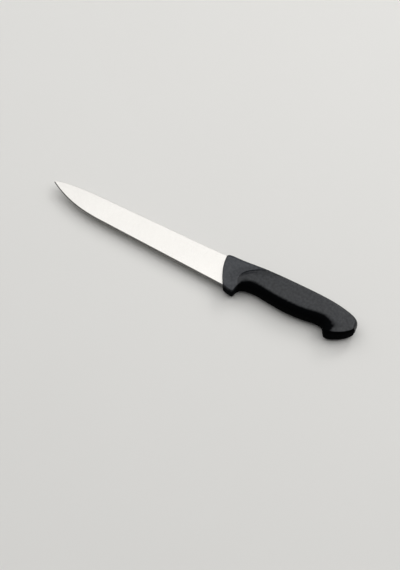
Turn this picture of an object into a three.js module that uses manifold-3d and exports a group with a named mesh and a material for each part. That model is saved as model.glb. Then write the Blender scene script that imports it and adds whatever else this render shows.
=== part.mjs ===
// Chopping knife: a slim taper-ground steel blade whose tang is moulded into a hard handle core with a
// guard, and a soft grip moulded over the core behind a swept seam.
//
// Millimetres. While it is drawn, x runs from the front of the handle to the butt, y rises to the blade's
// spine, z comes out of the left side, and the middle of the blade's thickness is z = 0. Drops are measured
// down from the line of the spine. At the end the knife is laid on its right side, with its middle over the
// origin.

import * as THREE from 'three';
import { mergeVertices } from 'three/addons/utils/BufferGeometryUtils.js';
import Module from 'manifold-3d';

const wasm = await Module();
wasm.setup();

// Blade
const BLADE_LENGTH = 185; // along the spine, from the handle to the tip
const HEEL_DROP = 29.15; // edge below the spine where it goes into the handle
const BELLY_RUN = 62; // from the tip to where the edge turns straight
const BELLY_DROP = 23.1; // edge below the spine where it turns straight
const BELLY_POWER = 2.35; // how late the edge curves up to the tip
const SPINE_FALL = 48; // length over which the spine falls to the tip
const TIP_DROP = 5.8; // spine at the tip
const TIP_BLUNT = 0.6; // height of the rounded tip
const STOCK = 2.0; // thickness of the steel, at the spine by the heel
const BEVEL_HEIGHT = 1.2; // sharpened bevel along the edge
const BEVEL_THICKNESS = 0.4; // steel behind the bevel
const EDGE_LAND = 0.1; // width left on the edge itself
const SPINE_EASE = 0.3; // eased corners of the spine
const HANDLE_CLEAR = 1.4; // the flat of the blade's side ends this far in front of the handle

// Tang, hidden in the handle
const TANG_DROP = 4.5; // top of the tang below the spine
const TANG_COVER = 33; // handle behind the end of the tang
const TANG_HOLE = 6; // diameter of the holes that the core locks through
const TANG_HOLES = 3;
const HEEL_COVER = 6.2; // guard behind the blade's heel
const RUN_OUT = 4; // length over which tang and ground blade run into each other
const SPINE_STEP = 1.6; // spine lower inside the handle, so that plastic covers it
const STEP_AT = 1.5; // where the spine starts to step down
const STEP_RUN = 3.5;

// Handle outline
const HANDLE_LENGTH = 136;
const HANDLE_THICKNESS = 19;
const FRONT_THICKNESS = 14; // across the collar at its front rim
const FRONT_CORNER = 1.4; // rounded corner of the front at the spine
const FRONT_BOW = 2.1; // how far the front face swells forward
const FRONT_RISE = 0.9; // back above the spine at the front
const RISE_FROM = 6.5; // where the back starts to rise further
const BACK_RISE = 2.9; // highest point of the back above the spine
const BACK_RISE_AT = 54;
const GUARD_LEAN = 11.9; // low end of the front face behind its top
const GUARD_DROP = 33; // lowest point of the guard's toe
const TOE_LENGTH = 11.1; // front to rear of the guard's toe
const TOE_SLOPE = 1.9; // rise of the toe's lower edge towards its front
const TOE_CORNER = 0.7;
const TOE_THICKNESS = 12;
const CHOIL_AT = 38; // deepest point of the finger hollow
const CHOIL_DROP = 22.4;
const SWELL_DROP = 25.2; // belly at the middle of the grip
const WAIST_DROP = 22.7; // belly in front of the beak
const WAIST_FROM_BUTT = 33.5;
const BEAK_FROM_BUTT = 22.8;
const BEAK_DROP = 30.5;
const BEAK_FLANK = 13.5; // how far the beak's side slopes back from its front
const BUTT_DROP = 13.4; // the rearmost point of the butt
const BUTT_POWER = 3.4; // how late the back curves down to the butt
const BUTT_THICKNESS = 14;

// Roundings of the handle, measured from its outline to the rim of its side faces
const BACK_ROUND = 4.3;
const TOE_ROUND = 1.1;
const BULGE = 8.6; // along the belly
const BUTT_ROUND = 3.6;
const BUTT_FADE = 4; // how late the rounding of the back closes towards the butt
const ROUND_POWER = 2.4; // 2 is an ellipse, more is squarer
const BUTT_CURVE = 2; // the same behind the waist
const SQUARE_POWER = 4; // the same for the toe and the beak

// Seam between the hard collar and the soft grip
const SEAM_BACK_AT = 45; // where it crosses the back
const SEAM_RIM_AT = 37.5; // where it leaves the side face towards the back
const SEAM_LOW_DROP = 27.2; // where it ends on the rear wall of the toe
const SEAM_BOW = 8; // how far it swells forward

// Core inside the grip
const GRIP_WALL = 3.5; // soft grip under the core, where its belly is highest
const CORE_WALL = 2.4; // hard plastic above and below the tang
const CORE_THICKNESS = 12.5;
const CORE_EASE = 1.5;
const CORE_TAIL = 11; // core behind the end of the tang
const WINDOW = 5; // diameter of the hole that the grip locks through

const FIT_GAP = 0.3; // left between pieces that are moulded round each other

// Fineness of the facets
const RAIL_STEPS = 3;
const ROUND_STEPS = 5;
const FACE_STEPS = 6;
const TIP_STEPS = 18;
const CIRCLE_STEPS = 24;
const EASE_STEPS = 2;

// Places that follow from the sizes above
const TIP_X = -BLADE_LENGTH;
const EDGE_TURN_X = TIP_X + BELLY_RUN;
const EDGE_SLOPE = (HEEL_DROP - BELLY_DROP) / (GUARD_LEAN - EDGE_TURN_X);
const TOE_BACK = GUARD_LEAN + TOE_LENGTH;
const SHOULDER_X = TOE_BACK - HEEL_COVER;
const TANG_END = HANDLE_LENGTH - TANG_COVER;
const TANG_WIDTH = Math.min(CHOIL_DROP, WAIST_DROP) - GRIP_WALL - CORE_WALL - TANG_DROP;
const TANG_MIDDLE = -TANG_DROP - TANG_WIDTH / 2;
const WAIST_AT = HANDLE_LENGTH - WAIST_FROM_BUTT;
const BEAK_AT = HANDLE_LENGTH - BEAK_FROM_BUTT;
const SWELL_AT = (CHOIL_AT + WAIST_AT) / 2;
const HALF = HANDLE_THICKNESS / 2;
const TAPER = (STOCK - BEVEL_THICKNESS) / 2 / (HEEL_DROP - BEVEL_HEIGHT);

const mix = THREE.MathUtils.lerp;

// A closed mesh, from points and triangles, as a solid that can be joined and cut.
function solidFrom(geometry) {
  geometry.deleteAttribute('normal');
  geometry.deleteAttribute('uv');
  const merged = mergeVertices(geometry);
  const index = merged.index.array;
  const triangles = [];
  for (let i = 0; i < index.length; i += 3) {
    const [a, b, c] = index.slice(i, i + 3);
    if (a !== b && b !== c && c !== a) triangles.push(a, b, c);
  }
  const vertProperties = new Float32Array(merged.attributes.position.array);
  const triVerts = new Uint32Array(triangles);
  return new wasm.Manifold(new wasm.Mesh({ numProp: 3, vertProperties, triVerts }));
}

// Loops of points, one behind the other along x, skinned into a closed solid. Each loop runs from the back
// over the left side to the belly and returns over the right side, so an end is closed by strips across it.
// A last loop that is folded flat is closed already.
function skin(loops, foldedEnd = false) {
  const count = loops[0].length;
  const half = count / 2;
  const index = [];
  const quad = (a, b, c, d) => index.push(a, b, c, a, c, d);
  for (let i = 0; i + 1 < loops.length; i++) {
    for (let j = 0; j < count; j++) {
      const next = (j + 1) % count;
      quad(i * count + j, i * count + next, (i + 1) * count + next, (i + 1) * count + j);
    }
  }
  const last = (loops.length - 1) * count;
  for (let j = 0; j < half; j++) {
    const other = (count - j) % count;
    quad(j, other, count - j - 1, j + 1);
    if (!foldedEnd) quad(last + j, last + j + 1, last + count - j - 1, last + other);
  }
  const geometry = new THREE.BufferGeometry();
  geometry.setFromPoints(loops.flat());
  geometry.setIndex(index);
  return solidFrom(geometry);
}

// Left half of a section, from back to belly, completed with its mirror image.
function mirrored(left) {
  const right = left.slice(1, -1).reverse();
  return left.concat(right.map((p) => new THREE.Vector3(p.x, p.y, -p.z)));
}

// A cylinder across the handle.
function crossPin(x, y, diameter, length) {
  const pin = new THREE.CylinderGeometry(diameter / 2, diameter / 2, length, CIRCLE_STEPS);
  pin.rotateX(Math.PI / 2);
  pin.translate(x, y, 0);
  return solidFrom(pin);
}

// Blade: the edge is a straight line that curves up to the tip. The spine falls to the tip as an ellipse and
// steps down inside the handle.
function edgeY(x) {
  const straight = -HEEL_DROP + EDGE_SLOPE * (GUARD_LEAN - x);
  if (x >= EDGE_TURN_X) return straight;
  const atTip = -HEEL_DROP + EDGE_SLOPE * (GUARD_LEAN - TIP_X);
  const rise = -TIP_DROP - TIP_BLUNT - atTip;
  return straight + rise * ((EDGE_TURN_X - x) / BELLY_RUN) ** BELLY_POWER;
}

function spineY(x) {
  const along = Math.max(0, (TIP_X + SPINE_FALL - x) / SPINE_FALL);
  const step = SPINE_STEP * THREE.MathUtils.clamp((x - STEP_AT) / STEP_RUN, 0, 1);
  return -TIP_DROP * (1 - Math.sqrt(Math.max(0, 1 - along * along))) - step;
}

// Section of the ground blade: eased spine, flat sides that draw together, bevel and edge.
function bladeSection(x, grow) {
  const top = spineY(x);
  const low = edgeY(x);
  const bevel = Math.min(BEVEL_HEIGHT, (top - low) / 2);
  const ease = Math.min(SPINE_EASE, (top - low) / 4);
  const sides = (y) => BEVEL_THICKNESS / 2 + TAPER * Math.max(0, y - low - bevel) + grow;
  const spine = sides(top - ease);
  return mirrored([
    new THREE.Vector3(x, top + grow, 0),
    new THREE.Vector3(x, top + grow, Math.max(spine - ease, spine / 2)),
    new THREE.Vector3(x, top + grow - ease, spine),
    new THREE.Vector3(x, low + bevel, sides(low + bevel)),
    new THREE.Vector3(x, low - grow, EDGE_LAND / 2 + grow),
    new THREE.Vector3(x, low - grow, 0),
  ]);
}

// Tang: a plate with rounded end and locking holes. Grown, it is the room that the core leaves for it.
function tangPlate(grow) {
  const front = SHOULDER_X - RUN_OUT - grow;
  const end = TANG_END + grow;
  const top = -TANG_DROP + grow;
  const low = -TANG_DROP - TANG_WIDTH - grow;
  const radius = (top - low) / 2;
  const outline = new THREE.Shape();
  outline.moveTo(front, low);
  outline.lineTo(end - radius, low);
  outline.absarc(end - radius, (top + low) / 2, radius, -Math.PI / 2, Math.PI / 2, false);
  outline.lineTo(front, top);
  const depth = STOCK + 2 * grow;
  const curveSegments = CIRCLE_STEPS / 2;
  const plate = new THREE.ExtrudeGeometry(outline, { depth, bevelEnabled: false, curveSegments });
  plate.translate(0, 0, -depth / 2);
  let tang = solidFrom(plate);
  for (let i = 0; i < TANG_HOLES; i++) {
    const x = mix(SHOULDER_X, TANG_END, (i + 1) / (TANG_HOLES + 1));
    tang = tang.subtract(crossPin(x, TANG_MIDDLE, TANG_HOLE - 2 * grow, 2 * depth));
  }
  return tang;
}

function makeBlade() {
  const places = [];
  for (let i = 0; i < TIP_STEPS; i++) {
    places.push(mix(EDGE_TURN_X, TIP_X, Math.cos((i / TIP_STEPS) * Math.PI / 2)));
  }
  places.push(EDGE_TURN_X, -HANDLE_CLEAR, STEP_AT, STEP_AT + STEP_RUN, SHOULDER_X);
  const ground = skin(places.map((x) => bladeSection(x, 0)));
  return ground.add(tangPlate(0));
}

// Room for the blade's heel and tang in the core, open to the front.
function makePocket() {
  const places = [-FRONT_BOW - HANDLE_CLEAR, STEP_AT, STEP_AT + STEP_RUN, SHOULDER_X + FIT_GAP];
  const heel = skin(places.map((x) => bladeSection(x, FIT_GAP)));
  return heel.add(tangPlate(FIT_GAP));
}

// Guide rails of the handle, which run through these stations. At each station the back line and the belly
// line lie on the middle plane, and the back rim and the ridge bound the side face and carry its half
// thickness.
const STATIONS = [
  ...['front', 'toe front', 'toe rear', 'toe corner', 'seam', 'choil corner', 'choil', 'fore belly', 'swell'],
  ...['rear belly', 'waist', 'beak front', 'beak neck', 'beak tip', 'butt low', 'butt rear', 'butt end'],
];
const SEAM = STATIONS.indexOf('seam');
const WAIST = STATIONS.indexOf('waist');
const END = STATIONS.indexOf('butt end');
const TO_SEAM = [0, 0.06, 0.4, 0.7]; // how far along from the front to the seam each collar station lies

function backStations(frontX, seamX, endX) {
  const stations = TO_SEAM.map((share) => mix(frontX, seamX, share));
  for (let i = SEAM; i < WAIST; i++) stations.push(mix(seamX, WAIST_AT, (i - SEAM) / (WAIST - SEAM)));
  for (let i = WAIST; i <= END; i++) {
    stations.push(mix(WAIST_AT, endX, Math.sin(((i - WAIST) / (END - WAIST)) * Math.PI / 2)));
  }
  return stations;
}

// Height of the back: it is level at the front, swells up from there and then falls to the butt as part of a
// superellipse.
function backY(x, endX) {
  if (x < BACK_RISE_AT) {
    const swell = THREE.MathUtils.smoothstep(x, RISE_FROM, BACK_RISE_AT);
    return mix(FRONT_RISE, BACK_RISE, swell);
  }
  const along = Math.min(1, (x - BACK_RISE_AT) / (endX - BACK_RISE_AT));
  const fall = 1 - (1 - along ** BUTT_POWER) ** (1 / BUTT_POWER);
  return BACK_RISE - (BACK_RISE + BUTT_DROP) * fall;
}

function backLine() {
  const xs = backStations(FRONT_CORNER, SEAM_BACK_AT, HANDLE_LENGTH);
  return xs.map((x, i) => new THREE.Vector3(x, backY(x, HANDLE_LENGTH) - (i === 0 ? FRONT_CORNER : 0), 0));
}

// Share of the handle's full thickness that each station of the rims has gained over the thinner ends.
const RIM_FULLNESS = [0, 0.15, 0.5, 0.8, 1, 1, 1, 1, 1, 1, 1, 0.92, 0.8, 0.56, 0.32, 0.08, 0];
const RIDGE_FULLNESS = [0, 0, 0, 0.08, 0.35, 0.8, 1, 1, 1, 1, 1, 0.88, 0.64, 0.25, 0, 0, 0];

function halfThickness(station, fullness, frontThickness) {
  const thin = station <= SEAM ? frontThickness : BUTT_THICKNESS;
  return mix(thin / 2, HALF, fullness[station]);
}

function backRim() {
  const endX = HANDLE_LENGTH - BUTT_ROUND;
  const xs = backStations(FRONT_CORNER, SEAM_RIM_AT, endX);
  return xs.map((x, i) => {
    const inset = mix(BACK_ROUND, 0, Math.max(0, (x - WAIST_AT) / (endX - WAIST_AT)) ** BUTT_FADE);
    return new THREE.Vector3(x, backY(x, endX) - inset, halfThickness(i, RIM_FULLNESS, FRONT_THICKNESS));
  });
}

// Each row: belly line x and drop, then the way from it to the ridge, forward or back and up.
function lowStations() {
  const foreBelly = (CHOIL_AT + SWELL_AT) / 2;
  const rearBelly = (SWELL_AT + WAIST_AT) / 2;
  const neck = (WAIST_AT + BEAK_AT) / 2;
  const butt = HANDLE_LENGTH - BEAK_AT;
  const drop = BEAK_DROP - BUTT_DROP;
  return [
    [GUARD_LEAN, GUARD_DROP - TOE_SLOPE - TOE_CORNER, -0.3 * TOE_ROUND, 0.8 * TOE_ROUND],
    [GUARD_LEAN + TOE_CORNER, GUARD_DROP - TOE_SLOPE, 0, 0.9 * TOE_ROUND],
    [TOE_BACK - 1.6 * TOE_CORNER, GUARD_DROP, -0.25 * TOE_ROUND, TOE_ROUND],
    [TOE_BACK, GUARD_DROP - TOE_CORNER, -0.55 * TOE_ROUND, 1.1 * TOE_ROUND],
    [mix(TOE_BACK, CHOIL_AT, 0.06), SEAM_LOW_DROP, 0, 2.2 * TOE_ROUND],
    [mix(TOE_BACK, CHOIL_AT, 0.26), mix(CHOIL_DROP, SEAM_LOW_DROP, 0.37), 0.3 * TOE_ROUND, 0.96 * BULGE],
    [CHOIL_AT, CHOIL_DROP, -1.3 * TOE_ROUND, 0.99 * BULGE],
    [foreBelly, mix(CHOIL_DROP, SWELL_DROP, 0.45), 0, 0.88 * BULGE],
    [SWELL_AT, SWELL_DROP, 0, BULGE],
    [rearBelly, mix(SWELL_DROP, WAIST_DROP, 0.28), 0, 0.95 * BULGE],
    [WAIST_AT, WAIST_DROP, 0, 1.1 * BULGE],
    [mix(WAIST_AT, neck, 1.08), mix(WAIST_DROP, BEAK_DROP, 0.21), 0.25 * BEAK_FLANK, 1.28 * BULGE],
    [mix(WAIST_AT, neck, 1.51), mix(WAIST_DROP, BEAK_DROP, 0.7), BEAK_FLANK, 1.24 * BULGE],
    [BEAK_AT, BEAK_DROP, 0.65 * BEAK_FLANK, 0.74 * BULGE],
    [BEAK_AT + 0.62 * butt, BEAK_DROP - 0.35 * drop, -0.2 * BUTT_ROUND, 0.9 * BUTT_ROUND],
    [BEAK_AT + 0.95 * butt, BEAK_DROP - 0.79 * drop, -0.6 * BUTT_ROUND, 0.4 * BUTT_ROUND],
    [HANDLE_LENGTH, BUTT_DROP, -BUTT_ROUND, 0],
  ];
}

function bellyLine() {
  return lowStations().map(([x, drop]) => new THREE.Vector3(x, -drop, 0));
}

function ridge() {
  return lowStations().map(([x, drop, along, up], i) => {
    return new THREE.Vector3(x + along, up - drop, halfThickness(i, RIDGE_FULLNESS, TOE_THICKNESS));
  });
}

function backPower(station) {
  return mix(ROUND_POWER, BUTT_CURVE, THREE.MathUtils.smoothstep(station, WAIST, WAIST + 3));
}

// How far each station's belly goes from the back's power to the squarer one.
const SQUARENESS = [1, 1, 1, 1, 0.7, 0.2, 0, 0, 0, 0, 0, 0.2, 0.5, 1, 0.8, 0.6, 0];

function bellyPower(station) {
  const before = Math.min(Math.floor(station), END - 1);
  const square = mix(SQUARENESS[before], SQUARENESS[before + 1], station - before);
  return mix(backPower(station), SQUARE_POWER, square);
}

// How far each station's section swells forward between its rim and its ridge: it grows to the seam, fades
// away behind it and is nothing from there on.
const BOW_FADE = [1, 0.8, 0.45, 0.15];
const BOWS = [
  ...TO_SEAM.map((share) => mix(FRONT_BOW, SEAM_BOW, share)),
  ...BOW_FADE.map((share) => share * SEAM_BOW),
];
BOWS.push(...Array(END + 1 - BOWS.length).fill(0));

function makeRails() {
  const through = (points) => new THREE.CatmullRomCurve3(points, false, 'centripetal');
  return {
    back: through(backLine()),
    rim: through(backRim()),
    ridge: through(ridge()),
    belly: through(bellyLine()),
    bow: through(BOWS.map((bow, i) => new THREE.Vector3(bow, i, 0))),
  };
}

const RAILS = makeRails();

// Rounded quarter from a point on the middle plane up to the rim of a side face.
function quarter(line, rim, power) {
  const points = [];
  for (let i = 0; i <= ROUND_STEPS; i++) {
    const angle = (i / ROUND_STEPS) * Math.PI / 2;
    const out = i === ROUND_STEPS ? 0 : Math.cos(angle) ** (2 / power);
    const up = Math.sin(angle) ** (2 / power);
    points.push(new THREE.Vector3(mix(rim.x, line.x, out), mix(rim.y, line.y, out), rim.z * up));
  }
  return points;
}

// Whole section of the handle at a station, which need not be a whole number.
function handleSection(station) {
  const at = station / END;
  const rim = RAILS.rim.getPoint(at);
  const low = RAILS.ridge.getPoint(at);
  rim.z = Math.min(rim.z, HALF);
  low.z = Math.min(low.z, HALF);
  const bow = Math.max(0, RAILS.bow.getPoint(at).x);
  const face = [];
  for (let i = 1; i < FACE_STEPS; i++) {
    const across = i / FACE_STEPS;
    const point = rim.clone().lerp(low, across);
    point.x -= bow * 4 * across * (1 - across);
    face.push(point);
  }
  const over = quarter(RAILS.back.getPoint(at), rim, backPower(station));
  const under = quarter(RAILS.belly.getPoint(at), low, bellyPower(station)).reverse();
  return mirrored([...over, ...face, ...under]);
}

function handleLoops(from, to) {
  const loops = [];
  for (let i = from * RAIL_STEPS; i <= to * RAIL_STEPS; i++) loops.push(handleSection(i / RAIL_STEPS));
  return loops;
}

// Bar round the tang with eased edges, which the grip is moulded over. Grown, it is the room in the grip.
function coreBar(grow) {
  const front = SHOULDER_X;
  const end = TANG_END + CORE_TAIL + grow;
  const top = -TANG_DROP + CORE_WALL + grow - CORE_EASE;
  const low = -TANG_DROP - TANG_WIDTH - CORE_WALL - grow + CORE_EASE;
  const radius = (top - low) / 2;
  const outline = new THREE.Shape();
  outline.moveTo(front, low);
  outline.lineTo(end - CORE_EASE - radius, low);
  outline.absarc(end - CORE_EASE - radius, (top + low) / 2, radius, -Math.PI / 2, Math.PI / 2, false);
  outline.lineTo(front, top);
  const depth = CORE_THICKNESS + 2 * grow - 2 * CORE_EASE;
  const bar = new THREE.ExtrudeGeometry(outline, {
    depth,
    bevelThickness: CORE_EASE,
    bevelSize: CORE_EASE,
    bevelSegments: EASE_STEPS,
    curveSegments: CIRCLE_STEPS / 2,
  });
  bar.translate(0, 0, -depth / 2);
  const window = crossPin(TANG_END + CORE_TAIL / 2, TANG_MIDDLE, WINDOW - 2 * grow, 2 * HANDLE_THICKNESS);
  return solidFrom(bar).subtract(window);
}

function makeCore() {
  const collar = skin(handleLoops(0, SEAM));
  return collar.add(coreBar(0)).subtract(makePocket());
}

function makeGrip() {
  const loops = handleLoops(SEAM, END);
  loops[0].forEach((point) => point.setX(point.x + FIT_GAP));
  return skin(loops, true).subtract(coreBar(FIT_GAP));
}

function meshOf(name, solid, material) {
  const { vertProperties, triVerts } = solid.getMesh();
  const geometry = new THREE.BufferGeometry();
  geometry.setAttribute('position', new THREE.BufferAttribute(vertProperties, 3));
  geometry.setIndex(new THREE.BufferAttribute(triVerts, 1));
  geometry.computeVertexNormals();
  const mesh = new THREE.Mesh(geometry, material);
  mesh.name = name;
  return mesh;
}

const steel = new THREE.MeshStandardMaterial({ color: 0xd0ceca, roughness: 0.3, metalness: 1 });
const hardPlastic = new THREE.MeshStandardMaterial({ color: 0x1e2329, roughness: 0.4, metalness: 0 });
const softPlastic = new THREE.MeshStandardMaterial({ color: 0x191b1f, roughness: 0.42, metalness: 0 });

const laid = new THREE.Group();
laid.add(meshOf('blade', makeBlade(), steel));
laid.add(meshOf('handle_core', makeCore(), hardPlastic));
laid.add(meshOf('soft_grip', makeGrip(), softPlastic));

// The middle of the knife lies over the origin, and its right side lies on z = 0.
const bounds = new THREE.Box3().setFromObject(laid);
const middle = bounds.getCenter(new THREE.Vector3());
laid.position.set(-middle.x, -middle.y, -bounds.min.z);

const knife = new THREE.Group();
knife.add(laid);

export default knife;
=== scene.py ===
"""Chopping knife: a satin steel blade, a hard plastic collar with a guard, and a soft grip behind a seam.

The knife is drawn in metres with x from the front of the handle to the butt, y up to the spine of the blade
and z out of its left side. Drops are measured down from the line of the spine. Each piece is one closed
surface: a row of rings, each with the same number of points, that run from the back over the left side to
the belly and return over the right side.
"""

import math

import bmesh
import bpy
import numpy as np
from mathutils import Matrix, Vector


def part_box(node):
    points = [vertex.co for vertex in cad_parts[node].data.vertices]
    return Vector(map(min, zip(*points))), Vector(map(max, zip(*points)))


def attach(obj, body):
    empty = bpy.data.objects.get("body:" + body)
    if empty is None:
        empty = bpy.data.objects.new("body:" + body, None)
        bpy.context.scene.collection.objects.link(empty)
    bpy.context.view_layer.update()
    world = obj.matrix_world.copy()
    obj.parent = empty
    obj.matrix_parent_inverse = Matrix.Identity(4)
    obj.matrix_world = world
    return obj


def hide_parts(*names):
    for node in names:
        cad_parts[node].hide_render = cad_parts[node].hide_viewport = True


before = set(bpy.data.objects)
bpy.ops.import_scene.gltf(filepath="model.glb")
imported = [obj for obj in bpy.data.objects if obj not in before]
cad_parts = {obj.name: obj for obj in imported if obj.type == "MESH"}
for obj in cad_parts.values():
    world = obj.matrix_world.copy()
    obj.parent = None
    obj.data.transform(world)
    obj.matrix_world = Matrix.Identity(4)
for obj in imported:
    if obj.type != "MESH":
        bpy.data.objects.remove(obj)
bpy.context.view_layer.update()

bl_info = {
    "name": "Chopping knife",
    "version": (1, 0, 0),
    "blender": (4, 5, 0),
    "location": "View3D > Sidebar > Knife",
    "description": "Makes the blade, the collar and the soft grip of a chopping knife, and a plain stage",
    "category": "Add Mesh",
}

# Points of half a ring, counted in steps along its stretches
ROUND_STEPS = 20
FACE_STEPS = 32
BLADE_STEPS = (4, 6, 50, 8, 4)
PLATE_STEPS = (6, 8, 44, 8, 6)

# Stations along the handle, and the way to the seam's station at those in front of it
SEAM = 4
WAIST = 10
END = 16
TO_SEAM = np.array([0, 0.06, 0.4, 0.7])

# Steps from each station of the handle to the next, before it is cut into collar and grip
STATION_STEPS = 14

# Rings along the pieces, counted in steps
NOSE_STEPS = 8
CURVE_STEPS = 60
STRAIGHT_STEPS = 59
TANG_STEPS = 15
FRONT_STEPS = 24
RIM_STEPS = 6
COLLAR_STEPS = 90
CAP_STEPS = 12
BAR_STEPS = 23
GRIP_STEPS = 230

# Light passes that soften the handle, and rings at the butt over which the painted shade on its belly fades
# out
SOFT_PASSES = 2
BUTT_RINGS = 8

# Largest share of the front face that the rounding of its rim takes
RIM_SHARE = 0.6

# Least spacing of a curve's knots, and least length to divide by
LEAST_KNOT = 1e-4
LEAST_LENGTH = 1e-12

# Points closer than this are joined, and sharper bends than this stay sharp in the shading
JOIN_DISTANCE = 2e-7
SHARP_BEND = math.radians(40)

# Range that holds most of a noise
NOISE_LOW = 0.3
NOISE_HIGH = 0.7

# Name under which points carry their share of painted shade: darker matt plastic on the handle's belly and
# beside the seam, a dark bevel on the blade
SHADE_ATTRIBUTE = "second finish"

BLADE_LOW, BLADE_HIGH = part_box("blade")
CORE_LOW, CORE_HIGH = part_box("handle_core")
GRIP_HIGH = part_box("soft_grip")[1]


def length(label, millimetres, words):
    """A length property, given in millimetres and kept in metres."""
    return bpy.props.FloatProperty(
        name=label,
        description=words,
        default=millimetres / 1000,
        precision=5,
        subtype="DISTANCE",
        unit="LENGTH",
    )


def number(label, value, words):
    """A plain number property."""
    return bpy.props.FloatProperty(name=label, description=words, default=value)


def angle(label, degrees, words):
    """An angle property, given in degrees and kept in radians."""
    return bpy.props.FloatProperty(
        name=label, description=words, default=math.radians(degrees), subtype="ANGLE"
    )


def share(label, value, words):
    """A property from 0 to 1."""
    return bpy.props.FloatProperty(
        name=label, description=words, default=value, min=0, max=1, subtype="FACTOR"
    )


def colour(label, value, words):
    """A linear colour property."""
    return bpy.props.FloatVectorProperty(
        name=label, description=words, default=value, min=0, max=1, subtype="COLOR"
    )


class BladeSizes(bpy.types.PropertyGroup):
    """Sizes of the steel blade and of the tang that the handle hides."""

    heel_drop: length("Heel drop", 29.15, "Edge below the spine where it goes into the handle")
    belly_run: length("Belly run", 62, "From the tip to where the edge turns straight")
    belly_drop: length("Belly drop", 23.1, "Edge below the spine where it turns straight")
    belly_power: number("Belly power", 2.35, "How late the edge curves up to the tip")
    spine_fall: length("Spine fall", 48, "Length over which the spine falls to the tip")
    tip_drop: length("Tip drop", 5.8, "Spine at the tip")
    tip_blunt: length("Tip blunt", 0.6, "Height of the rounded tip")
    stock: length("Stock", 2, "Thickness of the steel")
    bevel_height: length("Bevel height", 1.2, "Sharpened bevel along the edge")
    bevel_thickness: length("Bevel thickness", 0.4, "Steel behind the bevel")
    edge_land: length("Edge land", 0.06, "Width left on the edge itself")
    spine_ease: length("Spine ease", 0.3, "Eased corners of the spine")
    heel_cover: length("Heel cover", 6.2, "Guard behind the heel of the blade")
    spine_dip: length("Spine dip", 1.6, "How far the spine dips inside the collar")
    dip_from: length("Dip from", 1.5, "Where the dip starts, behind the front of the handle")
    dip_to: length("Dip to", 5, "Where the dip is complete")
    tang_drop: length("Tang drop", 4.5, "Top of the tang below the spine")
    tang_width: length("Tang width", 12, "Height of the tang")
    tang_ease: length("Tang ease", 0.2, "Eased corners of the tang")


class HandleSizes(bpy.types.PropertyGroup):
    """Sizes of the handle's outline and of its roundings."""

    length: length("Length", 136, "From the front of the handle to the butt")
    front_thickness: length("Front thickness", 14, "Across the collar at its front rim")
    front_corner: length("Front corner", 1.4, "Rounded corner of the front at the spine")
    front_bow: length("Front bow", 2.1, "How far the front face swells forward")
    front_edge: length("Front edge", 1.1, "Rounding of the rim of the front face")
    front_rise: length("Front rise", 0.9, "Back above the spine at the front")
    rise_from: length("Rise from", 6.5, "Place from which the back rises further")
    back_rise: length("Back rise", 2.9, "Highest point of the back above the spine")
    back_rise_at: length("Back rise at", 54, "Place of the highest point of the back")
    guard_lean: length("Guard lean", 11.9, "Low end of the front face behind its top")
    guard_drop: length("Guard drop", 33, "Lowest point of the toe of the guard")
    toe_length: length("Toe length", 11.1, "Front to rear of the toe")
    toe_slope: length("Toe slope", 1.9, "Rise of the lower edge of the toe towards its front")
    toe_corner: length("Toe corner", 0.7, "Rounded corners of the toe in side view")
    toe_thickness: length("Toe thickness", 12, "Across the toe")
    choil_at: length("Choil at", 38, "Place of the deepest point of the finger hollow")
    choil_drop: length("Choil drop", 22.4, "Deepest point of the finger hollow")
    swell_drop: length("Swell drop", 25.2, "Belly at the middle of the grip")
    waist_drop: length("Waist drop", 22.7, "Belly in front of the beak")
    waist_from_butt: length("Waist from butt", 33.5, "Place of the waist, from the butt")
    beak_from_butt: length("Beak from butt", 22.8, "Place of the tip of the beak, from the butt")
    beak_drop: length("Beak drop", 30.5, "Lowest point of the beak")
    beak_flank: length("Beak flank", 13.5, "How far the side of the beak slopes back from its front")
    butt_drop: length("Butt drop", 13.4, "The rearmost point of the butt")
    butt_power: number("Butt power", 3.4, "How late the back curves down to the butt")
    butt_thickness: length("Butt thickness", 14, "Across the butt")
    back_round: length("Back round", 4.3, "Rounding of the back")
    toe_round: length("Toe round", 1.1, "Rounding of the toe")
    bulge: length("Bulge", 8.6, "Rounding of the belly")
    butt_round: length("Butt round", 3.6, "Rounding of the butt")
    butt_fade: number("Butt fade", 4, "How late the rounding of the back closes towards the butt")
    round_power: number("Round power", 2.4, "Rounding of back and belly: 2 is an ellipse, more is squarer")
    square_power: number("Square power", 4, "The same for the toe and the beak")
    butt_curve: number("Butt curve", 2, "The same behind the waist")
    tang_cover: length("Tang cover", 33, "Handle behind the end of the tang")
    core_wall: length("Core wall", 2.4, "Hard plastic above and below the tang")
    core_thickness: length("Core thickness", 12.5, "Across the bar inside the grip")
    core_ease: length("Core ease", 1.5, "Eased edges of that bar")
    core_tail: length("Core tail", 11, "Bar behind the end of the tang")


class SeamSizes(bpy.types.PropertyGroup):
    """Sizes of the seam between the collar and the grip, and of the hollow behind it."""

    back_at: length("Back at", 45, "Where the seam crosses the back")
    rim_at: length("Rim at", 37.5, "Where it leaves the side face towards the back")
    low_drop: length("Low drop", 27.2, "Where it ends on the rear wall of the toe")
    bow: length("Bow", 8, "How far it swells forward")
    groove: length("Groove", 0.4, "Depth of the groove along it")
    lip: length("Lip", 0.6, "Width of the rounded lip on each side of the groove")
    faint: share("Faint", 0.15, "Share of the groove that is left at its low end")
    hollow: length("Hollow", 0.5, "How far the grip lies below the collar behind the seam")
    hollow_run: length("Hollow run", 24, "Length over which the grip rises to full height again")
    # Painted shade beside the seam: both plastics turn darker and more matt there, fading away along the
    # handle
    shade_share: share("Dull", 0.17, "How much duller both plastics are beside the seam")
    shade_run: length("Dull run", 28, "Length over which the finish of the grip turns even")
    collar_run: length("Collar run", 15, "The same for the collar")
    joint: length("Joint", 0.1, "Gap between pieces that are moulded round each other")


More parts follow.
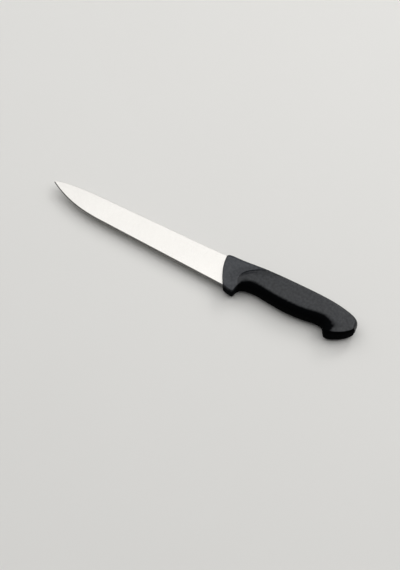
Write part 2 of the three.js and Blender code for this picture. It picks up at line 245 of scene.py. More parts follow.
class Finishes(bpy.types.PropertyGroup):
    """Colours and finishes of the three materials."""

    steel: colour("Steel", (0.63, 0.616, 0.59), "Satin steel")
    steel_rough: share("Steel roughness", 0.3, "Roughness of the satin")
    bevel_shade: share("Bevel tone", 0.12, "Brightness of the bevel beside the flat sides")
    # Painted shade: the bevel takes the steel's colour darkened, which draws a dark line along the edge
    hard: colour("Hard plastic", (0.0130, 0.0165, 0.0225), "Collar and core")
    hard_rough: share("Hard roughness", 0.4, "Roughness of the collar")
    hard_shine: share("Hard shine", 0.6, "Strength of the collar's reflections")
    hard_grain: length("Hard grain", 0.02, "Depth of the collar's grain")
    soft: colour("Soft plastic", (0.0095, 0.0110, 0.0140), "Grip")
    soft_rough: share("Soft roughness", 0.42, "Roughness of the grip")
    soft_shine: share("Soft shine", 0.44, "Strength of the grip's reflections")
    soft_grain: length("Soft grain", 0.03, "Depth of the grip's grain")
    mottle: share("Mottle", 0.3, "Strength of the small matt patches on both plastics")
    # Painted shade: a darker, matt copy of each plastic, which darkens the belly and the plastic beside the
    # seam
    shade_tone: share("Matt tone", 0.12, "Brightness of the matt finish beside the satin one")
    shade_rough: share("Matt roughness", 0.85, "Roughness of the matt finish")
    shade_shine: share("Matt shine", 0.05, "Strength of its reflections beside those of the satin")
    # Across each ring, where the painted belly shade starts and where it is complete, on the grip and at the
    # toe, and how soon the grip's rings change over from the toe's spread
    shade_from: number("Matt from", 1.06, "Where the grip starts to turn matt: 1 at the ridge, 2 in mid belly")
    shade_to: number("Matt to", 1.3, "Where the grip is all matt")
    toe_shade_from: number("Toe matt from", 0.7, "Where the collar starts to turn matt")
    toe_shade_to: number("Toe matt to", 2.2, "Where the collar would be all matt")
    toe_fade: share("Toe fade", 0.45, "Share of the grip's rings that change over from the collar's finish")


class StageSettings(bpy.types.PropertyGroup):
    """Camera, floor and light."""

    azimuth: angle("Azimuth", 28.965, "Camera round the knife")
    elevation: angle("Elevation", 60, "Camera above the floor")
    distance: length("Distance", 950, "From the camera to the point that it looks at")
    lens: bpy.props.FloatProperty(
        name="Lens", description="Focal length on a 36 millimetre frame", default=66.2, unit="CAMERA"
    )
    ahead: length("Ahead", 7.03, "Point that the camera looks at, in front of the handle")
    below: length("Below", 38.6, "The same point, below the line of the spine")
    floor: colour("Floor", (0.69, 0.683, 0.662), "Pale floor")
    floor_reach: length("Floor reach", 20000, "From the knife to each side of the floor")
    lamp_distance: length("Lamp distance", 2200, "From the knife to each lamp")
    fill: number("Fill", 0.12, "Brightness of the room")


def lamp_group(name, words, azimuth, elevation, width, depth, radiance):
    """A property group for one soft lamp. Its azimuth counts from the side away from the camera."""
    fields = {
        "azimuth": angle("Azimuth", azimuth, "Lamp round the knife, from behind"),
        "elevation": angle("Elevation", elevation, "Lamp above the floor"),
        "width": length("Width", width, "Across the lamp, level"),
        "depth": length("Depth", depth, "Across the lamp, upright"),
        "radiance": number("Radiance", radiance, "Brightness of its face, where 1 is white"),
    }
    return type(name, (bpy.types.PropertyGroup,), {"__doc__": words, "__annotations__": fields})


BackLamp = lamp_group(
    "BackLamp", "Large lamp behind the knife, which its sides mirror", -6, 52, 5600, 1100, 1.3
)
TopLamp = lamp_group(
    "TopLamp", "Wide lamp overhead, which keeps the shadow short", -6, 88, 5000, 1900, 1.5
)
SideLamp = lamp_group(
    "SideLamp", "Small lamp at the right, which fills the shadow", -85, 45, 1200, 1200, 1.5
)
RimLamp = lamp_group(
    "RimLamp", "Small low lamp behind the butt, which draws its rim", -33, 36, 700, 700, 5
)


def mix(start, end, part):
    """From start to end by part, which goes from 0 to 1."""
    return start + (end - start) * part


def smoothstep(value, low, high):
    """0 below low and 1 above high, with a soft S curve between."""
    part = np.clip((value - low) / (high - low), 0, 1)
    return part * part * (3 - 2 * part)


def knot_step(start, end):
    """Square root of the distance from each start to its end."""
    return np.maximum(np.linalg.norm(end - start, axis=1, keepdims=True) ** 0.5, LEAST_KNOT)


def rail(points, at):
    """Smooth curve through points, at places that count the points.

    Between two points it is the cubic whose end slopes come from the neighbours, with knots spaced by the
    square root of the distances. A neighbour past either end mirrors the last step.
    """
    at = np.clip(at, 0, len(points) - 1)
    left = np.minimum(at.astype(int), len(points) - 2)
    part = (at - left)[:, None]
    more = np.vstack([2 * points[0] - points[1], points, 2 * points[-1] - points[-2]])
    a, b, c, d = (more[left + i] for i in range(4))
    ab, bc, cd = knot_step(a, b), knot_step(b, c), knot_step(c, d)
    slope_b = ((b - a) / ab - (c - a) / (ab + bc) + (c - b) / bc) * bc
    slope_c = ((c - b) / bc - (d - b) / (bc + cd) + (d - c) / cd) * bc
    bend = 3 * (c - b) - 2 * slope_b - slope_c
    turn = 2 * (b - c) + slope_b + slope_c
    return b + slope_b * part + bend * part**2 + turn * part**3


def mirrored(half):
    """Whole rings from their left halves: the points between the two ends return with z reversed."""
    right = half[:, -2:0:-1] * np.array([1, 1, -1])
    return np.concatenate([half, right], axis=1)


def stretch(start, end, steps):
    """Values from start to end for each ring, in equal steps, without the last one."""
    return mix(start[:, None], end[:, None], np.arange(steps) / steps)


def plate_rings(x, top, low, thickness, ease):
    """Sections of a flat bar: a rectangle from low to top with its long edges rounded by quarter circles."""
    half = np.full_like(x, thickness / 2)
    ease = np.minimum(np.minimum(ease, half), (top - low) / 2)
    turn = np.arange(PLATE_STEPS[1]) / PLATE_STEPS[1] * np.pi / 2
    over = ease[:, None] * np.sin(turn)
    down = ease[:, None] * (1 - np.cos(turn))
    flat = (half - ease)[:, None]
    zero = np.zeros_like(x)
    y = np.concatenate([
        stretch(top, top, PLATE_STEPS[0]),
        top[:, None] - down,
        stretch(top - ease, low + ease, PLATE_STEPS[2]),
        (low + ease)[:, None] - over,
        stretch(low, low, PLATE_STEPS[4]),
        low[:, None],
    ], axis=1)
    z = np.concatenate([
        stretch(zero, half - ease, PLATE_STEPS[0]),
        flat + over,
        stretch(half, half, PLATE_STEPS[2]),
        half[:, None] - down,
        stretch(half - ease, zero, PLATE_STEPS[4]),
        zero[:, None],
    ], axis=1)
    return mirrored(np.stack([np.broadcast_to(x[:, None], y.shape), y, z], axis=2))


def round_ended_bar(front, end, top, low, thickness, ease, steps):
    """Flat bar from front to an end that is rounded as a half circle in side view."""
    half = (top - low) / 2
    middle = (top + low) / 2
    turn = np.linspace(0, np.pi / 2, steps + 1)
    x = np.concatenate([[front], end - half + half * np.sin(turn)])
    reach = np.concatenate([[half], half * np.cos(turn)])
    return plate_rings(x, middle + reach, middle - reach, thickness, ease)


class Blade:
    """Plan and sections of the blade, and of the room for it in the core when grown by a joint."""

    def __init__(self, sizes, handle, grow=0.0):
        self.sizes = sizes
        self.grow = grow
        self.tip = BLADE_LOW.x - handle_origin(handle)[0]
        self.turn = self.tip + sizes.belly_run
        self.slope = (sizes.heel_drop - sizes.belly_drop) / (handle.guard_lean - self.turn)
        self.lean = handle.guard_lean
        self.shoulder = handle.guard_lean + handle.toe_length - sizes.heel_cover + grow
        self.tang_end = handle.length - handle.tang_cover + grow
        self.taper = (sizes.stock - sizes.bevel_thickness) / 2 / (sizes.heel_drop - sizes.bevel_height)

    def edge(self, x):
        """Straight from the heel, plus a power of the distance past the turn that ends at the tip."""
        sizes = self.sizes
        straight = -sizes.heel_drop + self.slope * (self.lean - x)
        at_tip = -sizes.heel_drop + self.slope * (self.lean - self.tip)
        rise = -sizes.tip_drop - sizes.tip_blunt - at_tip
        return straight + rise * np.clip((self.turn - x) / sizes.belly_run, 0, None) ** sizes.belly_power

    def spine(self, x):
        """Level, then a quarter of an ellipse down to the tip."""
        along = np.clip((self.tip + self.sizes.spine_fall - x) / self.sizes.spine_fall, 0, 1)
        return -self.sizes.tip_drop * (1 - np.sqrt(1 - along**2))

    def sections(self, x):
        """Sections at x: eased spine, flat sides that draw together, sharpened bevel and edge.

        Near the tip the outline is also held inside a half circle as high as the blunt tip, and the
        thickness rounds off to nothing. Inside the collar the spine dips, so that plastic covers it.
        """
        sizes = self.sizes
        nose = sizes.tip_blunt / 2
        inside = np.clip((x - self.tip) / nose, 0, 1)
        reach = np.where(inside < 1, nose * np.sqrt(1 - (1 - inside) ** 2), np.inf)
        middle = -sizes.tip_drop - nose
        dip = sizes.spine_dip * smoothstep(x, sizes.dip_from, sizes.dip_to)
        top = np.minimum(self.spine(x) - dip, middle + reach) + self.grow
        low = np.maximum(self.edge(x), middle - reach) - self.grow
        bevel = np.minimum(sizes.bevel_height, (top - low) / 2)
        ease = np.minimum(sizes.spine_ease, (top - low) / 4)
        behind = sizes.bevel_thickness / 2 + self.grow

        def side(y):
            """Half the thickness at a height: that behind the bevel, plus the taper above it."""
            return behind + self.taper * np.maximum(0, y - low - bevel)

        spine = side(top - ease)
        ease_z = np.minimum(ease, spine / 2)
        turn = np.arange(BLADE_STEPS[1]) / BLADE_STEPS[1] * np.pi / 2
        zero = np.zeros_like(x)
        edge = zero + sizes.edge_land / 2 + self.grow
        thick = np.sqrt(1 - (1 - np.clip((x - self.tip) / behind, 0, 1)) ** 2)
        y = np.concatenate([
            stretch(top, top, BLADE_STEPS[0]),
            top[:, None] - ease[:, None] * (1 - np.cos(turn)),
            stretch(top - ease, low + bevel, BLADE_STEPS[2]),
            stretch(low + bevel, low, BLADE_STEPS[3]),
            stretch(low, low, BLADE_STEPS[4]),
            low[:, None],
        ], axis=1)
        z = np.concatenate([
            stretch(zero, spine - ease_z, BLADE_STEPS[0]),
            (spine - ease_z)[:, None] + ease_z[:, None] * np.sin(turn),
            stretch(spine, side(low + bevel), BLADE_STEPS[2]),
            stretch(side(low + bevel), edge, BLADE_STEPS[3]),
            stretch(edge, zero, BLADE_STEPS[4]),
            zero[:, None],
        ], axis=1) * thick[:, None]
        return mirrored(np.stack([np.broadcast_to(x[:, None], y.shape), y, z], axis=2))

    def tang(self):
        """Flat bar with a round end, from the shoulder back."""
        sizes = self.sizes
        top = -sizes.tang_drop + self.grow
        low = -sizes.tang_drop - sizes.tang_width - self.grow
        thickness = sizes.stock + 2 * self.grow
        return round_ended_bar(self.shoulder, self.tang_end, top, low, thickness, sizes.tang_ease, TANG_STEPS)


def handle_origin(handle):
    """Where the front of the handle, the line of the spine and the middle plane lie in the frame."""
    return np.array([
        GRIP_HIGH.x - handle.length,
        BLADE_HIGH.y,
        (CORE_LOW.z + CORE_HIGH.z) / 2,
    ])


class Handle:
    """Guide rails of the handle, and the surface that they carry."""

    def __init__(self, sizes, seam):
        self.sizes = sizes
        self.seam = seam
        self.half = (CORE_HIGH.z - CORE_LOW.z) / 2
        self.waist = sizes.length - sizes.waist_from_butt
        self.beak = sizes.length - sizes.beak_from_butt
        self.toe_back = sizes.guard_lean + sizes.toe_length

    def back_stations(self, front, seam, end):
        """Places along the back: shares of the collar, equal steps to the waist, then closer to the butt."""
        collar = mix(front, seam, TO_SEAM)
        grip = np.linspace(seam, self.waist, WAIST - SEAM, endpoint=False)
        butt = mix(self.waist, end, np.sin(np.linspace(0, np.pi / 2, END - WAIST + 1)))
        return np.concatenate([collar, grip, butt])

    def back_height(self, x, end):
        """An S curve up from the front to the highest point, then part of a superellipse down to the butt."""
        sizes = self.sizes
        rise = mix(sizes.front_rise, sizes.back_rise, smoothstep(x, sizes.rise_from, sizes.back_rise_at))
        along = np.clip((x - sizes.back_rise_at) / (end - sizes.back_rise_at), 0, 1)
        fall = 1 - (1 - along**sizes.butt_power) ** (1 / sizes.butt_power)
        return rise - (sizes.back_rise + sizes.butt_drop) * fall

    def half_thickness(self, fullness, front):
        """Mix of the thinner ends and the full thickness by each station's fullness."""
        thin = np.where(np.arange(END + 1) <= SEAM, front, self.sizes.butt_thickness) / 2
        return mix(thin, self.half, np.array(fullness))

    def back_line(self):
        """Middle of the back."""
        sizes = self.sizes
        x = self.back_stations(sizes.front_corner, self.seam.back_at, sizes.length)
        y = self.back_height(x, sizes.length)
        y[0] -= sizes.front_corner
        return np.stack([x, y, 0 * x], axis=1)

    def back_rim(self):
        """Upper rim of the side face, below the back by its rounding, which closes towards the butt."""
        sizes = self.sizes
        end = sizes.length - sizes.butt_round
        x = self.back_stations(sizes.front_corner, self.seam.rim_at, end)
        closing = np.clip((x - self.waist) / (end - self.waist), 0, 1) ** sizes.butt_fade
        inset = sizes.back_round * (1 - closing)
        full = [0, 0.15, 0.5, 0.8, 1, 1, 1, 1, 1, 1, 1, 0.92, 0.8, 0.56, 0.32, 0.08, 0]
        z = self.half_thickness(full, sizes.front_thickness)
        return np.stack([x, self.back_height(x, end) - inset, z], axis=1)

    def low_stations(self):
        """Rows of belly line x and drop, then the way from there to the ridge, forward or back and up.

        In order they stand at the front of the toe, its corner, its lowest point and its rear, the low end of
        the seam, the wall of the finger hollow and its deepest point, before, at and behind the swell, at the
        waist, in front of the beak, on its flank and at its tip, and three times on the way round the butt.
        """
        sizes = self.sizes
        swell = (sizes.choil_at + self.waist) / 2
        fore = (sizes.choil_at + swell) / 2
        rear = (swell + self.waist) / 2
        neck = (self.waist + self.beak) / 2
        butt = sizes.length - self.beak
        low = self.seam.low_drop
        choil_drop = sizes.choil_drop
        waist_drop = sizes.waist_drop
        beak_drop = sizes.beak_drop
        drop = beak_drop - sizes.butt_drop
        toe = sizes.toe_round
        belly = sizes.bulge
        flank = sizes.beak_flank
        end = sizes.butt_round
        return np.array([
            [sizes.guard_lean, sizes.guard_drop - sizes.toe_slope - sizes.toe_corner, -0.3 * toe, 0.8 * toe],
            [sizes.guard_lean + sizes.toe_corner, sizes.guard_drop - sizes.toe_slope, 0, 0.9 * toe],
            [self.toe_back - 1.6 * sizes.toe_corner, sizes.guard_drop, -0.25 * toe, toe],
            [self.toe_back, sizes.guard_drop - sizes.toe_corner, -0.55 * toe, 1.1 * toe],
            [mix(self.toe_back, sizes.choil_at, 0.06), low, 0, 2.2 * toe],
            [mix(self.toe_back, sizes.choil_at, 0.26), mix(choil_drop, low, 0.37), 0.3 * toe, 0.96 * belly],
            [sizes.choil_at, choil_drop, -1.3 * toe, 0.99 * belly],
            [fore, mix(choil_drop, sizes.swell_drop, 0.45), 0, 0.88 * belly],
            [swell, sizes.swell_drop, 0, belly],
            [rear, mix(sizes.swell_drop, waist_drop, 0.28), 0, 0.95 * belly],
            [self.waist, waist_drop, 0, 1.1 * belly],
            [mix(self.waist, neck, 1.08), mix(waist_drop, beak_drop, 0.21), 0.25 * flank, 1.28 * belly],
            [mix(self.waist, neck, 1.51), mix(waist_drop, beak_drop, 0.7), flank, 1.24 * belly],
            [self.beak, beak_drop, 0.65 * flank, 0.74 * belly],
            [self.beak + 0.62 * butt, beak_drop - 0.35 * drop, -0.2 * end, 0.9 * end],
            [self.beak + 0.95 * butt, beak_drop - 0.79 * drop, -0.6 * end, 0.4 * end],
            [sizes.length, sizes.butt_drop, -end, 0],
        ])

    def ridge(self, rows):
        """Lower rim of the side face, where it rolls over into the belly."""
        full = [0, 0, 0, 0.08, 0.35, 0.8, 1, 1, 1, 1, 1, 0.88, 0.64, 0.25, 0, 0, 0]
        z = self.half_thickness(full, self.sizes.toe_thickness)
        return np.stack([rows[:, 0] + rows[:, 2], rows[:, 3] - rows[:, 1], z], axis=1)

    def bows(self):
        """How far each station's face swells forward: more towards the seam, and fading away behind it.

        The bow is the x of a rail whose stations stand a millimetre apart in y.
        """
        collar = mix(self.sizes.front_bow, self.seam.bow, TO_SEAM)
        behind = np.array([1, 0.8, 0.45, 0.15]) * self.seam.bow
        rest = np.zeros(END + 1 - len(collar) - len(behind))
        x = np.concatenate([collar, behind, rest])
        return np.stack([x, np.arange(END + 1) * 0.001, 0 * x], axis=1)

    def back_power(self, at):
        """Power of the back's rounding: softer from behind the waist on."""
        return mix(self.sizes.round_power, self.sizes.butt_curve, smoothstep(at, WAIST, WAIST + 3))

    def belly_power(self, at):
        """Power of the belly's rounding: as on the back, but squarer at the toe and at the beak."""
        square = [1, 1, 1, 1, 0.7, 0.2, 0, 0, 0, 0, 0, 0.2, 0.5, 1, 0.8, 0.6, 0]
        return mix(self.back_power(at), self.sizes.square_power, np.interp(at, np.arange(END + 1), square))

    def rings(self, at):
        """Sections at stations: rounded back, bowed side face, rounded belly.

        A rounding is a quarter of a superellipse between a line on the middle plane and a rim of the face.
        The face is straight between its rims, less a bow along x that is greatest halfway.
        """
        rows = self.low_stations()
        belly_points = np.stack([rows[:, 0], -rows[:, 1], 0 * rows[:, 0]], axis=1)
        back = rail(self.back_line(), at)
        belly = rail(belly_points, at)
        rim = rail(self.back_rim(), at)
        ridge = rail(self.ridge(rows), at)
        rim[:, 2] = np.minimum(rim[:, 2], self.half)
        ridge[:, 2] = np.minimum(ridge[:, 2], self.half)
        bow = np.maximum(0, rail(self.bows(), at)[:, 0])
        across = np.arange(1, FACE_STEPS) / FACE_STEPS
        face = mix(rim[:, None], ridge[:, None], across[:, None])
        face[:, :, 0] -= bow[:, None] * 4 * across * (1 - across)
        over = self.quarter(back, rim, self.back_power(at))
        under = self.quarter(belly, ridge, self.belly_power(at))[:, ::-1]
        return mirrored(np.concatenate([over, face, under], axis=1))

    def quarter(self, line, rim, power):
        """Quarter of a superellipse from the middle plane out to a rim, with a power for each ring."""
        turn = np.linspace(0, np.pi / 2, ROUND_STEPS + 1)
        exponent = 2 / power[:, None]
        out = np.clip(np.cos(turn), 0, 1) ** exponent
        out[:, -1] = 0
        points = mix(rim[:, None], line[:, None], out[:, :, None])
        points[:, :, 2] = rim[:, None, 2] * np.sin(turn) ** exponent
        return points


def relaxed(grid, passes):
    """The grid softened by a small blur along and around, so that no kink is left where its stretches meet.

    Each pass mixes a point with its neighbours as 1 : 2 : 1, first along the handle and then around it. The
    two end rings stay.
    """
    for _ in range(passes):
        along = grid.copy()
        along[1:-1] = (grid[:-2] + 2 * grid[1:-1] + grid[2:]) / 4
        around = (np.roll(along, 1, axis=1) + 2 * along + np.roll(along, -1, axis=1)) / 4
        around[[0, -1]] = grid[[0, -1]]
        grid = around
    return grid


def resampled(grid, at):
    """Rings of the grid at places that need not be whole: the cubic through the four nearest rings."""
    last = len(grid) - 1
    left = np.clip(at.astype(int), 0, last - 1)
    part = (at - left)[:, None, None]
    a, b, c, d = (grid[np.clip(left + i, 0, last)] for i in (-1, 0, 1, 2))
    return b + part * ((c - a) + part * ((2 * a - 5 * b + 4 * c - d) + part * (3 * (b - c) + d - a))) / 2


def outward(grid):
    """Unit normals of a grid of rings, from its slopes along and around."""
    along = np.gradient(grid, axis=0)
    around = np.roll(grid, -1, axis=1) - np.roll(grid, 1, axis=1)
    normal = np.cross(around, along)
    return normal / np.maximum(np.linalg.norm(normal, axis=2, keepdims=True), LEAST_LENGTH)


def around_shares():
    """For each point of a ring of the handle, its part of the way from the back rim to the ridge.

    It is below 0 on the back, -1 in the middle of the back, above 1 on the belly and 2 in its middle.
    """
    over = np.linspace(-1, 0, ROUND_STEPS + 1)
    face = np.arange(1, FACE_STEPS) / FACE_STEPS
    under = np.linspace(1, 2, ROUND_STEPS + 1)
    half = np.concatenate([over, face, under])
    return np.concatenate([half, half[-2:0:-1]])


def upper_shares():
    """For each point of a ring of the handle, 1 down to a third of the side face, fading out at the ridge."""
    return 1 - smoothstep(around_shares(), 0.35, 0.95)


def belly_shade_shares(finish, like_toe):
    """For each point, how matt the plastic is: 0 on the back and the sides, 1 on the belly.

    Each ring lies between the quick change of the grip and the slow one of the toe by its share of the toe's
    finish. The last rings of the butt turn satin all round, because the belly is folded flat there.
    """
    like_toe = like_toe[:, None]
    start = mix(finish.shade_from, finish.toe_shade_from, like_toe)
    end = mix(finish.shade_to, finish.toe_shade_to, like_toe)
    left = np.arange(len(like_toe))[::-1, None]
    return smoothstep(around_shares(), start, end) * smoothstep(left, 0, BUTT_RINGS)


def seam_shade_shares(rings, seam_ring, shade_share, run):
    """For each point, how dull it is: even along x close to the seam, fading away from it and low down."""
    away = np.abs(rings[:, :, 0] - rings[seam_ring, :, 0])
    return shade_share * upper_shares() * (1 - smoothstep(away, 0.3 * run, run))


def bevel_shares(rings):
    """For each point of the blade, 1 on the sharpened bevel and the edge, 0 on the sides and the spine."""
    side = sum(BLADE_STEPS[:3])
    half = (np.arange(sum(BLADE_STEPS) + 1) > side).astype(float)
    ring = np.concatenate([half, half[-2:0:-1]])
    return np.broadcast_to(ring, rings.shape[:2])


def ring_distance(grid, ring):
    """Length from the first or last ring to each point along the grid's lines, and the distance square to it.

    The second is the first, times the sine of the angle at which that ring crosses those lines.
    """
    steps = np.linalg.norm(np.diff(grid, axis=0), axis=2)
    walked = np.vstack([np.zeros(grid.shape[1]), np.cumsum(steps, axis=0)])
    walked = np.abs(walked - walked[ring])
    near = grid[1] - grid[0] if ring == 0 else grid[-1] - grid[-2]
    run = np.roll(grid[ring], -1, axis=0) - np.roll(grid[ring], 1, axis=0)
    area = np.linalg.norm(np.cross(near, run), axis=1)
    lengths = np.linalg.norm(near, axis=1) * np.linalg.norm(run, axis=1)
    return walked, walked * area / np.maximum(lengths, LEAST_LENGTH)


def handle_grid(handle, seam):
    """The whole handle as softened rings, a fixed number for each station."""
    at = np.linspace(0, END, END * STATION_STEPS + 1)
    return relaxed(Handle(handle, seam).rings(at), SOFT_PASSES)


def collar_grid(handle, seam):
    """Rings of the handle from the front to the seam, closer together at both."""
    part = smoothstep(np.linspace(0, 1, COLLAR_STEPS + 1), 0, 1)
    return resampled(handle_grid(handle, seam), mix(0, SEAM, part) * STATION_STEPS)


def grip_grid(handle, seam):
    """Rings of the handle from the seam to the butt, closer together at the seam."""
    part = np.linspace(0, 1, GRIP_STEPS + 1) ** 2
    return resampled(handle_grid(handle, seam), mix(SEAM, END, part) * STATION_STEPS)


def grooved(grid, seam, seam_ring, hollow):
    """The grid pressed in along the seam: a rounded lip on each side and, on the grip, a hollow behind it.

    Both are deep on the upper part of the side face and fade away towards the belly, the hollow towards the
    back too.
    """
    walked, square = ring_distance(grid, seam_ring)
    upper = upper_shares()
    lip = np.clip(1 - square / seam.lip, 0, 1) ** 2
    depth = seam.groove * mix(seam.faint, 1, upper) * lip
    if hollow:
        side = upper * smoothstep(around_shares(), -0.7, 0.1)
        depth = depth + seam.hollow * side * (1 - smoothstep(walked, 0, seam.hollow_run))
    return grid - outward(grid) * depth[:, :, None]


def on_sheet(ring, edge):
    """The ring moved along x on to the sheet that stands on an edge ring, square to the middle plane."""
    half = len(edge) // 2 + 1
    y = np.maximum.accumulate(edge[:half, 1][::-1])
    moved = ring.copy()
    moved[..., 0] = np.interp(ring[..., 1], y, edge[:half, 0][::-1])
    return moved


def cap_rings(edge, inner, steps):
    """Rings from an edge to an inner outline, all on the sheet that stands on the edge."""
    part = np.linspace(0, 1, steps + 1)[1:, None, None]
    return on_sheet(mix(edge, inner, part), edge)


def rounded_rim(side, rim, cap, steps):
    """Rings that round a rim: the curve that leaves one ring towards the rim and comes from it to another."""
    part = np.linspace(0, 1, steps + 1)[:, None, None]
    return (1 - part) ** 2 * side + 2 * part * (1 - part) * rim + part**2 * cap


def bar_rings(blade, handle, grow):
    """Bar with a round end about the tang, from the rear of the toe back."""
    top = -blade.tang_drop + handle.core_wall + grow
    low = -blade.tang_drop - blade.tang_width - handle.core_wall - grow
    front = handle.guard_lean + handle.toe_length
    end = handle.length - handle.tang_cover + handle.core_tail + grow
    thickness = handle.core_thickness + 2 * grow
    return round_ended_bar(front, end, top, low, thickness, handle.core_ease, BAR_STEPS)


def blade_surface(blade, handle):
    """Rings from the tip to the heel, crowded at the tip, then the tang, closed at both ends."""
    plan = Blade(blade, handle)
    nose = plan.tip + blade.tip_blunt / 2 * np.linspace(0, 1, NOSE_STEPS + 1) ** 2
    curve = mix(nose[-1], plan.turn, np.linspace(0, 1, CURVE_STEPS + 1)[1:] ** 1.5)
    straight = np.linspace(plan.turn, plan.shoulder, STRAIGHT_STEPS + 1)[1:]
    ground = plan.sections(np.concatenate([nose, curve, straight]))
    return np.concatenate([ground, plan.tang()])


def core_surface(blade, handle, seam):
    """Rings from the end of the tang's room out of the front, over the collar and along the inner bar."""
    room = Blade(blade, handle, seam.joint)
    collar = grooved(collar_grid(handle, seam), seam, COLLAR_STEPS, hollow=False)
    rim = collar[0]
    mouth = room.sections(np.zeros(1))[0]
    mouth[:, 1] = np.minimum(mouth[:, 1], rim[0, 1] - handle.front_edge)
    mouth = on_sheet(mouth, rim)
    tang = room.tang()[::-1]
    heel = room.sections(np.array([room.shoulder]))
    part = handle.front_edge / np.linalg.norm(mouth - rim, axis=1, keepdims=True)
    inset = on_sheet(mix(rim, mouth, np.minimum(part, RIM_SHARE)), rim)
    front = on_sheet(mix(inset, mouth, np.linspace(0, 1, FRONT_STEPS + 1)[1:, None, None]), rim)
    # First ring of the collar that lies behind the rounding of its rim
    walked, _ = ring_distance(collar, 0)
    behind = np.argmax(walked.mean(axis=1) > handle.front_edge)
    edge = rounded_rim(collar[behind], rim, inset, RIM_STEPS)[::-1]
    bar = bar_rings(blade, handle, 0)
    bar[0] = on_sheet(bar[0], collar[-1])
    rear = cap_rings(collar[-1], bar[0], CAP_STEPS)
    return np.concatenate([tang, heel, front[::-1], edge[:-1], collar[behind:], rear, bar[1:]])


def grip_surface(blade, handle, seam):
    """Rings from the end of the bar's room out to the seam, then over the grip to the butt, folded there."""
    grip = grooved(grip_grid(handle, seam), seam, 0, hollow=True)
    grip[0, :, 0] += seam.joint
    bar = bar_rings(blade, handle, seam.joint)
    bar[0] = on_sheet(bar[0], grip[0])
    front = cap_rings(grip[0], bar[0], CAP_STEPS)
    return np.concatenate([bar[:0:-1], front[::-1], grip])


def ring_object(name, rings, handle, shade):
    """A closed mesh of the rings: a square between neighbours on two rings, points in the same place joined.

    The points carry shares of the piece's second finish.
    """
    rows, count, _ = rings.shape
    points = (rings + handle_origin(handle)).reshape(-1, 3)
    here = np.arange(rows * count).reshape(rows, count)
    beside = np.roll(here, -1, axis=1)
    squares = np.stack([here[:-1], beside[:-1], beside[1:], here[1:]], axis=2).reshape(-1, 4)
    mesh = bpy.data.meshes.new(name)
    mesh.from_pydata(points.tolist(), [], squares.tolist())
    shares = mesh.attributes.new(SHADE_ATTRIBUTE, "FLOAT", "POINT")
    shares.data.foreach_set("value", shade.ravel().astype(np.float32))
    work = bmesh.new()
    work.from_mesh(mesh)
    bmesh.ops.remove_doubles(work, verts=work.verts, dist=JOIN_DISTANCE)
    if work.calc_volume(signed=True) < 0:
        bmesh.ops.reverse_faces(work, faces=work.faces)
    work.to_mesh(mesh)
    work.free()
    edges = np.empty(len(mesh.loops), np.int32)
    mesh.loops.foreach_get("edge_index", edges)
    loose = np.count_nonzero(np.bincount(edges, minlength=len(mesh.edges)) != 2)
    if loose:
        raise RuntimeError(f"{name} isn't closed: {loose} of its edges don't join two faces")
    mesh.shade_smooth()
    mesh.set_sharp_from_angle(angle=SHARP_BEND)
    piece = bpy.data.objects.new(name, mesh)
    bpy.context.scene.collection.objects.link(piece)
    return piece


def dress(piece, node, material):
    """Gives a piece its material, and says which solid it stands for and what it rides on."""
    piece.data.materials.append(material)
    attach(piece, "root")
    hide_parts(node)


class Nodes:
    """A material's node tree with short calls to add and join nodes."""

    def __init__(self, name):
        self.material = bpy.data.materials.new(name)
        self.material.use_nodes = True
        self.tree = self.material.node_tree
        self.shader = self.tree.nodes["Principled BSDF"]
        self.object = self.add("ShaderNodeTexCoord").outputs["Object"]

    def add(self, kind, **values):
        """A node of that kind, with properties set by name."""
        node = self.tree.nodes.new(kind)
        for key, value in values.items():
            setattr(node, key, value)
        return node

    def join(self, output, socket):
        """A link from an output to a socket."""
        self.tree.links.new(output, socket)

    def noise(self, scale, detail, axes=(1, 1, 1)):
        """Noise on object coordinates, with the coordinates scaled along each axis first."""
        mapping = self.add("ShaderNodeMapping")
        mapping.inputs["Scale"].default_value = axes
        self.join(self.object, mapping.inputs["Vector"])
        texture = self.add("ShaderNodeTexNoise")
        texture.inputs["Scale"].default_value = scale
        texture.inputs["Detail"].default_value = detail
        self.join(mapping.outputs["Vector"], texture.inputs["Vector"])
        return texture.outputs["Fac"]

    def spread(self, value, low, high):
        """The middle of a noise's range, brought to the range from low to high."""
        range_node = self.add("ShaderNodeMapRange")
        range_node.inputs["From Min"].default_value = NOISE_LOW
        range_node.inputs["From Max"].default_value = NOISE_HIGH
        range_node.inputs["To Min"].default_value = low
        range_node.inputs["To Max"].default_value = high
        self.join(value, range_node.inputs["Value"])
        return range_node.outputs["Result"]

    def tint(self, value, base, dark, light):
        """The base colour times a factor between dark and light, by a noise."""
        ramp = self.add("ShaderNodeValToRGB")
        low, high = ramp.color_ramp.elements
        low.position = NOISE_LOW
        low.color = (*base * dark, 1)
        high.position = NOISE_HIGH
        high.color = (*base * light, 1)
        self.join(value, ramp.inputs["Fac"])
        return ramp.outputs["Color"]

    def painted_shade_share(self):
        """The share of the second finish that the points carry."""
        return self.add("ShaderNodeAttribute", attribute_name=SHADE_ATTRIBUTE).outputs["Fac"]

    def bump(self, height, depth, strength):
        """A bump of that depth in metres from a height between 0 and 1."""
        bump = self.add("ShaderNodeBump")
        bump.inputs["Strength"].default_value = strength
        bump.inputs["Distance"].default_value = depth
        self.join(height, bump.inputs["Height"])
        self.join(bump.outputs["Normal"], self.shader.inputs["Normal"])


